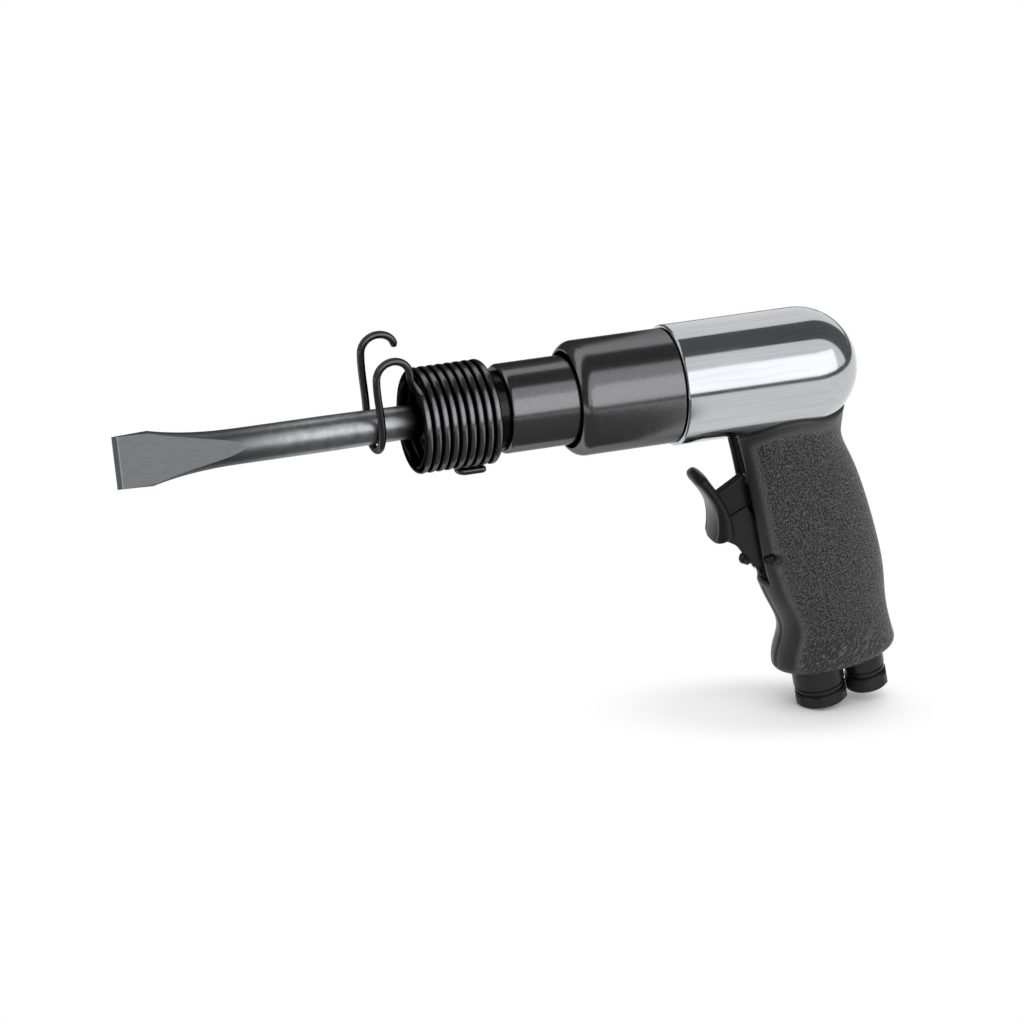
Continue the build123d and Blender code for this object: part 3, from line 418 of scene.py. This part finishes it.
grip_length = 107
waist_depth = 88
bottom_slant = math.radians(3.5)
bottom_round = 4
floor_depth = 103
slot_bottom = 63
slot_half_width = 6.4
cover_wall = 2.4
grip_stations = np.array([
    (-12, -25.6, 24.6, 19.2),
    (-1, -25.2, 23.6, 18.6),
    (7, -24.8, 21.3, 17.8),
    (20, -24.7, 23.4, 17.2),
    (36, -24.7, 26.6, 17.0),
    (56, -24.3, 28.8, 17.0),
    (74, -20.9, 29.3, 16.8),
    (waist_depth, -18.7, 28.2, 16.2),
    (98, -22.6, 28.6, 16.8),
    (grip_length, -23.6, 29.8, 17.0),
])
front_steps, side_steps = 24, 200


def grip_oval(depth, inset):
    """Middle, half depth and half width of the grip's oval section at each depth, less an inset.

    They lie on smooth curves through the stations' depth, front, rear and half width.
    """
    front, rear, half_width = np.moveaxis(
        smooth_through(grip_stations[:, 0], grip_stations[:, 1:], depth), -1, 0)
    return (front + rear) / 2, (rear - front) / 2 - inset, half_width - inset


def grip_angles(half_width):
    """Angles round the section from the slot's near edge: across the front, then round the rest."""
    edge = np.arcsin(slot_half_width / half_width)
    front = np.linspace(-1, 1, front_steps, endpoint=False) * edge
    rest = edge + np.linspace(0, 1, side_steps, endpoint=False) * 2 * (np.pi - edge)
    return np.concatenate([front, rest], axis=-1)


def grip_points(depth, angle, inset):
    """Points of the grip: an ellipse at each depth, which slants more and more below the waist."""
    middle, half_depth, half_width = grip_oval(depth, inset)
    below_waist = np.clip((depth - waist_depth) / (grip_length - waist_depth), 0, None)
    slant = bottom_slant * below_waist[..., None]
    back = (middle - half_depth * np.cos(angle))[..., None]
    return (handle_top + depth[..., None] * downward
            + back * (np.cos(slant) * backward + np.sin(slant) * downward)
            + (half_width * np.sin(angle))[..., None] * axis_y)


def grip_wall(inset, rows_to_slot, rows_below):
    """Depths and angles of the wall from the head's surface down to the cover's floor, and how far
    each point lies below the head.

    The top of each column is where the wall meets the head, found by halving a range of depths.
    """
    highest, lowest, halvings = -11.0, 20.0, 30
    head_gap, unlimited = 0.15, -1e3
    edge_width = grip_oval(np.array([lowest]), inset)[2][:, None]
    angle = grip_angles(edge_width)
    low, high = np.full(angle.shape, highest), np.full(angle.shape, lowest)
    for _ in range(halvings):
        middle = (low + high) / 2
        point = grip_points(middle, angle, inset) - (head_length / mm, 0, 0)
        from_head = np.linalg.norm(np.maximum(point, (0, unlimited, unlimited)), axis=-1)
        inside = from_head < head_radius / mm + head_gap
        low, high = np.where(inside, middle, low), np.where(inside, high, middle)
    share = np.linspace(0, 1, rows_to_slot, endpoint=False)[:, None]
    upper = low + share * (slot_bottom - low)
    lower = np.broadcast_to(np.linspace(slot_bottom, floor_depth, rows_below)[:, None],
                            (rows_below, angle.shape[1]))
    depth = np.vstack([upper, lower])
    angle = grip_angles(grip_oval(depth[:, :1], inset)[2])
    return depth, angle, depth - low


def strip(first, second):
    """Faces between two rows of points, for the cover's open edges."""
    return np.stack([first[1:], first[:-1], second[:-1], second[1:]], axis=-1).tolist()


def fade(value, start, end):
    """0 before start, 1 after end, and a smooth step between."""
    share = np.clip((value - start) / (end - start), 0, 1)
    return share ** 2 * (3 - 2 * share)


rows_to_slot, rows_below, rows_round, rows_floor = 104, 66, 9, 10
depth, angle, below_top = grip_wall(0, rows_to_slot, rows_below)
wall = grip_points(depth, angle, 0)
lining_depth, lining_angle, _ = grip_wall(cover_wall, rows_to_slot, rows_below)
lining = grip_points(lining_depth, lining_angle, cover_wall)

# The wall rolls over at its open edges, has a bead under the head and a seam down its front.
edge_roll = 1.3
bead_height, bead_place, bead_width = 0.35, 1.9, 0.9
seam_depth, seam_width, seam_side, seam_start = 0.7, 0.7, -2.2, 3
_, half_depth, half_width = grip_oval(depth, 0)
outward = ((-np.cos(angle) * half_width)[..., None] * backward
           + (np.sin(angle) * half_depth)[..., None] * axis_y)
outward /= np.linalg.norm(outward, axis=-1, keepdims=True)
from_slot = np.minimum(np.linalg.norm(wall - wall[:, :1], axis=-1),
                       np.linalg.norm(wall - wall[:, front_steps:front_steps + 1], axis=-1))
from_slot[:, :front_steps] = 0
below_slot = np.clip(depth - slot_bottom, 0, None)
short = np.clip(1 - np.minimum(np.hypot(from_slot, below_slot), below_top) / edge_roll, 0, 1)
push = edge_roll * (np.sqrt(1 - short ** 2) - 1)
push += bead_height * np.exp(-((below_top - bead_place) / bead_width) ** 2)
on_front = (from_slot == 0) * fade(below_slot, 0, seam_start)
push -= seam_depth * on_front * np.exp(-((wall[..., 1] - seam_side) / seam_width) ** 2)
wall += push[..., None] * outward

# Round recesses lie over the ends of the trigger's pin.
pin_forward, pin_depth = 19.1, 51
pivot = handle_top - pin_forward * backward + pin_depth * downward
recess_depth, recess_radius, recess_rim = 3.0, 2.3, 3.0
from_pin = np.hypot((wall - pivot) @ backward, (wall - pivot) @ downward)
wall[..., 1] -= np.sign(wall[..., 1]) * recess_depth * fade(from_pin, recess_rim, recess_radius)

# The lower edge is rounded, and the underside closes in rings towards its middle.
last_ring = 0.05
curl = np.linspace(0, np.pi / 2, rows_round + 1)[1:, None]
curl_depth = np.broadcast_to(floor_depth + bottom_round * np.sin(curl), (rows_round, angle.shape[1]))
rounding = grip_points(curl_depth, angle[-1:], bottom_round * (1 - np.cos(curl)))
rim_middle = rounding[-1].mean(axis=0)
ring_share = np.linspace(1, last_ring, rows_floor + 1)[1:, None, None]
under = rim_middle + ring_share * (rounding[-1] - rim_middle)
outer = np.concatenate([wall, rounding, under])

# The grain starts beside the slot and under the head, and turns into creases near the bottom.
smooth_front, grained_side = 4, 10
smooth_top, grained_below = 3, 8
crease_start, crease_full = 84, grip_length - 7
grain = fade(from_slot, smooth_front, grained_side) * fade(below_top, smooth_top, grained_below)
grain = np.concatenate([grain, np.repeat(grain[-1:], rows_round, axis=0),
                        np.zeros((rows_floor, angle.shape[1]))])
crease = grain * fade((outer - handle_top) @ downward, crease_start, crease_full)

# The outer wall and the lining are open over the slot, and strips join them round the open edges.
number = np.arange(outer[..., 0].size).reshape(outer.shape[:2])
lining_number = number.size + np.arange(lining[..., 0].size).reshape(lining.shape[:2])
faces = []
for grid, way in ((number, 1), (lining_number, -1)):
    after = np.roll(grid, -1, axis=1)
    quads = np.stack([grid[:-1], after[:-1], after[1:], grid[1:]], axis=-1)[..., ::way]
    faces += quads[:rows_to_slot, front_steps:].reshape(-1, 4).tolist()
    faces += quads[rows_to_slot:].reshape(-1, 4).tolist()
    faces.append(grid[-1, ::way].tolist())
around = np.r_[front_steps:number.shape[1], 0]
faces += strip(number[0, around], lining_number[0, around])
faces += strip(number[:rows_to_slot + 1, 0], lining_number[:rows_to_slot + 1, 0])
faces += strip(number[rows_to_slot::-1, front_steps], lining_number[rows_to_slot::-1, front_steps])
faces += strip(number[rows_to_slot, :front_steps + 1], lining_number[rows_to_slot, :front_steps + 1])

# Pebbles with slightly wandering edges make the grain, and slanting folds make the creases. Their hollows
# and folds are painted darker as painted shade, and the pebble tops lighter as painted highlight.
wander_share = 0.0012
pebble_size = 0.82 * mm
pebble_loss = -0.6
speck_height = 0.12
fold_slant, fold_length = math.radians(-50), 3
rubber, tree, place = new_finish("grained_rubber")
wander = add(tree, "ShaderNodeTexNoise", {"Vector": place, "Scale": 1 / (3 * mm), "Detail": 1.0})
warped = add(tree, "ShaderNodeMix", {
    "Factor": wander_share, "A": place, "B": wander.outputs["Color"]}, data_type="VECTOR")
pebble = add(tree, "ShaderNodeTexVoronoi", {
    "Vector": warped.outputs["Result"], "Scale": 1 / pebble_size, "Smoothness": 0.2}, feature="SMOOTH_F1")
speck = noise(tree, place, size=0.4 * mm, detail=2.0)
grained = add(tree, "ShaderNodeAttribute", attribute_name="grain").outputs["Fac"]
creased = add(tree, "ShaderNodeAttribute", attribute_name="crease").outputs["Fac"]
pebbled = reckon(tree, "MULTIPLY_ADD", creased, pebble_loss, grained)
dip = reckon(tree, "MULTIPLY", pebble.outputs["Distance"], pebbled)
slanted = add(tree, "ShaderNodeMapping", {
    "Vector": place, "Rotation": (0, fold_slant, 0), "Scale": (fold_length, 1, 1)}, vector_type="TEXTURE")
fold = noise(tree, slanted.outputs["Vector"], size=0.85 * mm, detail=1.0)
wrinkle = reckon(tree, "MULTIPLY", rescale(tree, fold, 0.4, 0.6, low=0.2, high=0.65), creased)
rough = reckon(tree, "MULTIPLY_ADD", speck, speck_height, dip)
hollow = reckon(tree, "ADD", rough, wrinkle)
# Painted shade and highlight: dark in the hollows and folds, light on the pebble tops.
grain_shade_and_highlight = blend(tree, rescale(tree, hollow, 0.1, 0.7), "#777779", "#252526")
show(tree, add(tree, "ShaderNodeBsdfPrincipled", {
    "Base Color": blend(tree, grained, "#2c2c2d", grain_shade_and_highlight),
    "Roughness": 0.34,
    "Normal": relief(tree, hollow, strength=1.0, distance=1.6 * mm, invert=True)}))

boot_points = np.concatenate([outer.reshape(-1, 3), lining.reshape(-1, 3)]) * mm
boot = new_piece("grip_boot", boot_points, faces, rubber, "hammer")
for name, share in (("grain", grain), ("crease", crease)):
    stored = boot.data.attributes.new(name, "FLOAT", "POINT")
    stored.data.foreach_set("value", np.concatenate([share.ravel(), np.zeros(lining_number.size)]))
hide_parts("grip_cover")

# Trigger, its pin and the regulator: a cast lever, painted satin black, swings on a steel pin that is
# riveted across the handle. Below it a slotted screw sets the air. Pin and screw are blackened, and
# here they share the lever's finish.
paint, tree, place = new_finish("satin_black_paint")
orange_peel = noise(tree, place, size=0.8 * mm, detail=2.0)
show(tree, add(tree, "ShaderNodeBsdfPrincipled", {
    "Base Color": blend(tree, orange_peel, "#1a1a1b", "#232324"),
    "Roughness": 0.3,
    "Specular IOR Level": 0.22,
    "Normal": relief(tree, orange_peel, strength=0.05, distance=0.1 * mm)}))
lever = bpy.data.objects.new("trigger_casting", nodes["trigger"].data.copy())
lever.data.materials.clear()
lever.data.materials.append(paint)
bpy.context.scene.collection.objects.link(lever)
weld = lever.modifiers.new("weld", "WELD")
weld.merge_threshold = 0.01 * mm
even = lever.modifiers.new("even", "REMESH")
even.voxel_size = 0.35 * mm
even.use_smooth_shade = True
soft = lever.modifiers.new("soft", "SMOOTH")
soft.iterations = 12
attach(lever, "lever")
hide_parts("trigger")


def rounded(distance, radius):
    """Share of the full size at a distance from an end that is rounded like a quarter circle."""
    return np.sqrt(1 - np.clip(1 - distance / radius, 0, 1) ** 2)


# The finger pad is rounded all over: an oval section between its front and back curves, with a round
# tip and a blunt foot. Its points are distances behind and below the pivot.
pad_knots = np.array([0, 18.5, 32])
pad_front = np.array([(-25.4, -42.3), (-18.9, -24.5), (-21.9, -11.4)])
pad_back = np.array([(-20.5, -45.0), (-12.6, -24.0), (-12.4, -12.0)])
pad_half_width = 8.3
tip_round, foot_round, pad_edge_round = 2.4, 3.0, 2.4
squareness = 2 / 2.8
pad_rings, pad_sides, first_ring = 60, 48, 0.06
run = pad_knots[-1] * (1 - np.cos(np.linspace(first_ring, np.pi - first_ring, pad_rings))) / 2
from_tip, from_foot = run, pad_knots[-1] - run
wide = pad_half_width * rounded(from_tip, tip_round) * rounded(from_foot, foot_round)
thick = rounded(from_tip, pad_edge_round) * rounded(from_foot, pad_edge_round)
front, back = smooth_through(pad_knots, pad_front, run), smooth_through(pad_knots, pad_back, run)
turn = np.linspace(0, 2 * np.pi, pad_sides, endpoint=False)
across = np.sign(np.cos(turn)) * np.abs(np.cos(turn)) ** squareness
sideways = -np.sign(np.sin(turn)) * np.abs(np.sin(turn)) ** squareness
flat = (front + back)[:, None] / 2 + (thick[:, None] * (back - front))[:, None] / 2 * across[:, None]
pad_points = (pivot + flat @ np.stack([backward, downward])
              + (wide[:, None] * sideways)[..., None] * axis_y)
pad_faces = ring_faces(pad_rings, pad_sides)
pad = new_piece("trigger_pad", pad_points.reshape(-1, 3) * mm, pad_faces, paint, "lever")

# The pin's ends are riveted into domes, which lie in the recesses.
shank_radius, dome_radius = 1.25, 1.9
dome_base, dome_top = 7.6, 9.7
dome_rings, dome_turn = 12, 0.48 * np.pi
rise = np.linspace(0, dome_turn, dome_rings)
reach = np.concatenate([[0, dome_base], dome_base + (dome_top - dome_base) * np.sin(rise)])
wide = np.concatenate([[shank_radius, shank_radius], dome_radius * np.cos(rise)])
reach, wide = np.concatenate([-reach[:0:-1], reach]), np.concatenate([wide[:0:-1], wide])
spoke = np.cos(turn)[:, None] * backward + np.sin(turn)[:, None] * downward
pin_points = pivot + reach[:, None, None] * axis_y + wide[:, None, None] * spoke
pin_faces = ring_faces(len(reach), len(turn))
pin = new_piece("riveted_pin", pin_points.reshape(-1, 3) * mm, pin_faces, paint, "hammer")
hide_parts("trigger_pin")
wear(paint, "regulator_screw")
wear(seal, "regulator_seal")

# Fittings under the grip: two hexagon bushings of blackened steel, screwed into the handle stem on
# soft washers. A bronze strainer lies in the inlet and a porous bronze silencer over the exhaust.
black, tree, place = new_finish("blackened_fittings")
wipe = noise(tree, place, size=1.2 * mm, detail=3.0)
broken_edges = add(tree, "ShaderNodeBevel", {"Radius": 0.3 * mm}, samples=6)
show(tree, add(tree, "ShaderNodeBsdfPrincipled", {
    "Base Color": blend(tree, wipe, "#202021", "#303031"),
    "Metallic": 0.4,
    "Roughness": rescale(tree, wipe, 0.3, 0.7, low=0.24, high=0.34),
    "Specular IOR Level": 0.25,
    "Normal": broken_edges.outputs[0]}))
wear(black, "inlet_bushing", "exhaust_bushing")
wear(seal, "inlet_washer", "exhaust_washer")

bronze, tree, place = new_finish("sintered_bronze")
# Painted shade: the gaps between the beads are painted darker than the beads' middles.
beads = add(tree, "ShaderNodeTexVoronoi", {"Vector": place, "Scale": 1 / (0.35 * mm)}).outputs["Distance"]
show(tree, add(tree, "ShaderNodeBsdfPrincipled", {
    "Base Color": blend(tree, beads, "#b08a4e", "#6f5227"),
    "Metallic": 1.0,
    "Roughness": 0.45,
    "Normal": relief(tree, beads, strength=0.6, distance=0.1 * mm, invert=True)}))
wear(bronze, "inlet_strainer", "exhaust_silencer")


# Camera: two metres off, above the object and to the left of its side, as in the photograph. Its long
# lens keeps the barrel's lines almost parallel.
def direction(azimuth, elevation):
    """The way from the object to a point at an azimuth from -Y and an elevation, in degrees."""
    turn, rise = math.radians(azimuth), math.radians(elevation)
    return Vector((math.sin(turn) * math.cos(rise), -math.cos(turn) * math.cos(rise), math.sin(rise)))


camera_azimuth, camera_elevation = -20.5, 23.5
camera_distance = 2.0
picture_pixels, pixels_per_metre = 1024, 2550
view_width = picture_pixels / pixels_per_metre
aim = Vector((-63.6, 2.6, -45.6)) * mm
camera_way = direction(camera_azimuth, camera_elevation)
camera_data = bpy.data.cameras.new("camera")
camera_data.lens = camera_data.sensor_width * camera_distance / view_width
camera_data.clip_end = 50
camera = bpy.data.objects.new("camera", camera_data)
bpy.context.scene.collection.objects.link(camera)
camera.location = aim + camera_way * camera_distance
camera.rotation_euler = camera_way.to_track_quat("Z", "Y").to_euler()
bpy.context.scene.camera = camera
bpy.context.scene.view_settings.view_transform = "Standard"


# Light: a softbox in front and a lamp overhead, in a pale room. Dark cards that only show in
# reflections hang over the object, stand along the floor's edge, lie beside the barrel and stand
# behind it.
def softbox(name, azimuth, elevation, width, height, radiance):
    """A soft lamp one metre off that faces the object, hidden from the camera."""
    lamp = bpy.data.lights.new(name, "AREA")
    lamp.shape = "RECTANGLE"
    lamp.size, lamp.size_y = width, height
    lamp.energy = radiance * math.pi * width * height
    box = bpy.data.objects.new(name, lamp)
    bpy.context.scene.collection.objects.link(box)
    box.location = direction(azimuth, elevation)
    box.rotation_euler = direction(azimuth, elevation).to_track_quat("Z", "Y").to_euler()
    box.visible_camera = False
    return box


softbox("front_softbox", azimuth=20, elevation=20, width=1.9, height=0.70, radiance=0.8)
top_light = softbox("top_light", azimuth=0, elevation=80, width=1.0, height=1.0, radiance=1.4)
top_light.visible_glossy = False

card_paint, tree, _ = new_finish("card_paint")
show(tree, add(tree, "ShaderNodeBsdfDiffuse", {"Color": colour("#747474")}))


def dark_card(name, grid):
    """A card from a grid of points, which shows in the metal and nowhere else."""
    corner = np.arange(grid[..., 0].size).reshape(grid.shape[:2])
    quads = np.stack([corner[:-1, :-1], corner[1:, :-1], corner[1:, 1:], corner[:-1, 1:]], axis=-1)
    mesh = bpy.data.meshes.new(name)
    mesh.from_pydata(grid.reshape(-1, 3).tolist(), [], quads.reshape(-1, 4).tolist())
    mesh.materials.append(card_paint)
    card = bpy.data.objects.new(name, mesh)
    bpy.context.scene.collection.objects.link(card)
    card.visible_camera = card.visible_diffuse = card.visible_shadow = False


def arch(axis, heights, turns, reach):
    """Grid on a sphere round the object, between two heights along an axis and two turns about it."""
    rows, columns = 9, 49
    upright = 0.9
    axis = Vector(axis).normalized()
    side = axis.cross(Vector((0, 0, 1))).normalized() if axis.z < upright else Vector((1, 0, 0))
    height, turn = np.meshgrid(np.linspace(*heights, rows), np.radians(np.linspace(*turns, columns)),
                               indexing="ij")
    width = np.sqrt(1 - height ** 2)
    return reach * (height[..., None] * np.array(axis)
                    + (width * np.cos(turn))[..., None] * np.array(side)
                    + (width * np.sin(turn))[..., None] * np.array(side.cross(axis)))


floor_height = cad_box[0].z
card_reach = 1.5
dark_card("overhead_card", arch((-0.279, 0.958, 0.061), (-0.345, 0.305), (0, 180), card_reach))
dark_card("edge_card", arch((0, 0, 1), (-0.118, 0.004), (0, 360), card_reach))

# The card beside the barrel lies on the floor and widens towards its front edge.
left, inner, front, lying = -0.6, 0.0, -0.9, floor_height + mm
inner_right, front_right = 0.028, 0.303
dark_card("barrel_card", np.array([
    [(left, inner, lying), (inner_right, inner, lying)],
    [(left, front, lying), (front_right, front, lying)]]))

# The card behind stands up from the height of the barrel's axis and reaches past the head's rear.
left, right, back, foot, top = -0.7, 0.105, 0.3, 0.0, 0.35
dark_card("back_card", np.array([
    [(left, back, foot), (right, back, foot)],
    [(left, back, top), (right, back, top)]]))


def sight(tree):
    """1 for rays that show a surface, straight or in metal and glass, and 0 for those that light it."""
    path = add(tree, "ShaderNodeLightPath").outputs
    straight = reckon(tree, "MAXIMUM", path["Is Camera Ray"], path["Is Glossy Ray"])
    return reckon(tree, "MAXIMUM", straight, path["Is Transmission Ray"])


world = bpy.data.worlds.new("studio")
world.use_nodes = True
tree = world.node_tree
tree.nodes.clear()
room = add(tree, "ShaderNodeBackground", {"Color": colour("#ffffff"), "Strength": 0.72})
white = add(tree, "ShaderNodeBackground", {"Color": colour("#ffffff"), "Strength": 1.0})
mixed = add(tree, "ShaderNodeMixShader", {0: sight(tree), 1: room.outputs[0], 2: white.outputs[0]})
add(tree, "ShaderNodeOutputWorld", {"Surface": mixed.outputs[0]})
bpy.context.scene.world = world

# Floor: a pale round board that the fittings stand on. The camera sees it lifted to white, and the
# object's soft shadow stays on it in an oval round the fittings that lies across the camera's view.
floor_radius, floor_sides = 1.3, 96
shadow_middle = 0.05
shadow_half_length, shadow_half_depth = 0.07, 0.03
shadow_full, shadow_gone = 0.5, 1.2
around = np.linspace(0, 2 * np.pi, floor_sides, endpoint=False)
rim = np.stack([floor_radius * np.cos(around), floor_radius * np.sin(around),
                np.full(floor_sides, floor_height)], axis=1)
floor_mesh = bpy.data.meshes.new("floor")
floor_mesh.from_pydata(rim.tolist(), [], [list(range(floor_sides))])
floor = bpy.data.objects.new("floor", floor_mesh)
bpy.context.scene.collection.objects.link(floor)
pale, tree, place = new_finish("pale_floor")
matt = add(tree, "ShaderNodeBsdfDiffuse", {"Color": colour("#cccccc")})
near = add(tree, "ShaderNodeBsdfDiffuse", {"Color": colour("#fafafa")})
lift = add(tree, "ShaderNodeEmission", {"Color": colour("#ffffff"), "Strength": 0.06})
lifted = add(tree, "ShaderNodeAddShader", {0: near.outputs[0], 1: lift.outputs[0]})
far = add(tree, "ShaderNodeEmission", {"Color": colour("#ffffff"), "Strength": 1.0})
oval = add(tree, "ShaderNodeMapping", {
    "Vector": place,
    "Location": (shadow_middle, 0, floor_height),
    "Rotation": (0, 0, math.radians(camera_azimuth)),
    "Scale": (shadow_half_length, shadow_half_depth, 1)}, vector_type="TEXTURE")
from_middle = add(tree, "ShaderNodeVectorMath", {0: oval.outputs["Vector"]}, operation="LENGTH")
away = rescale(tree, from_middle.outputs["Value"], shadow_full, shadow_gone, interpolation_type="SMOOTHSTEP")
shown = add(tree, "ShaderNodeMixShader", {0: away, 1: lifted.outputs[0], 2: far.outputs[0]})
show(tree, add(tree, "ShaderNodeMixShader", {0: sight(tree), 1: matt.outputs[0], 2: shown.outputs[0]}))
floor_mesh.materials.append(pale)
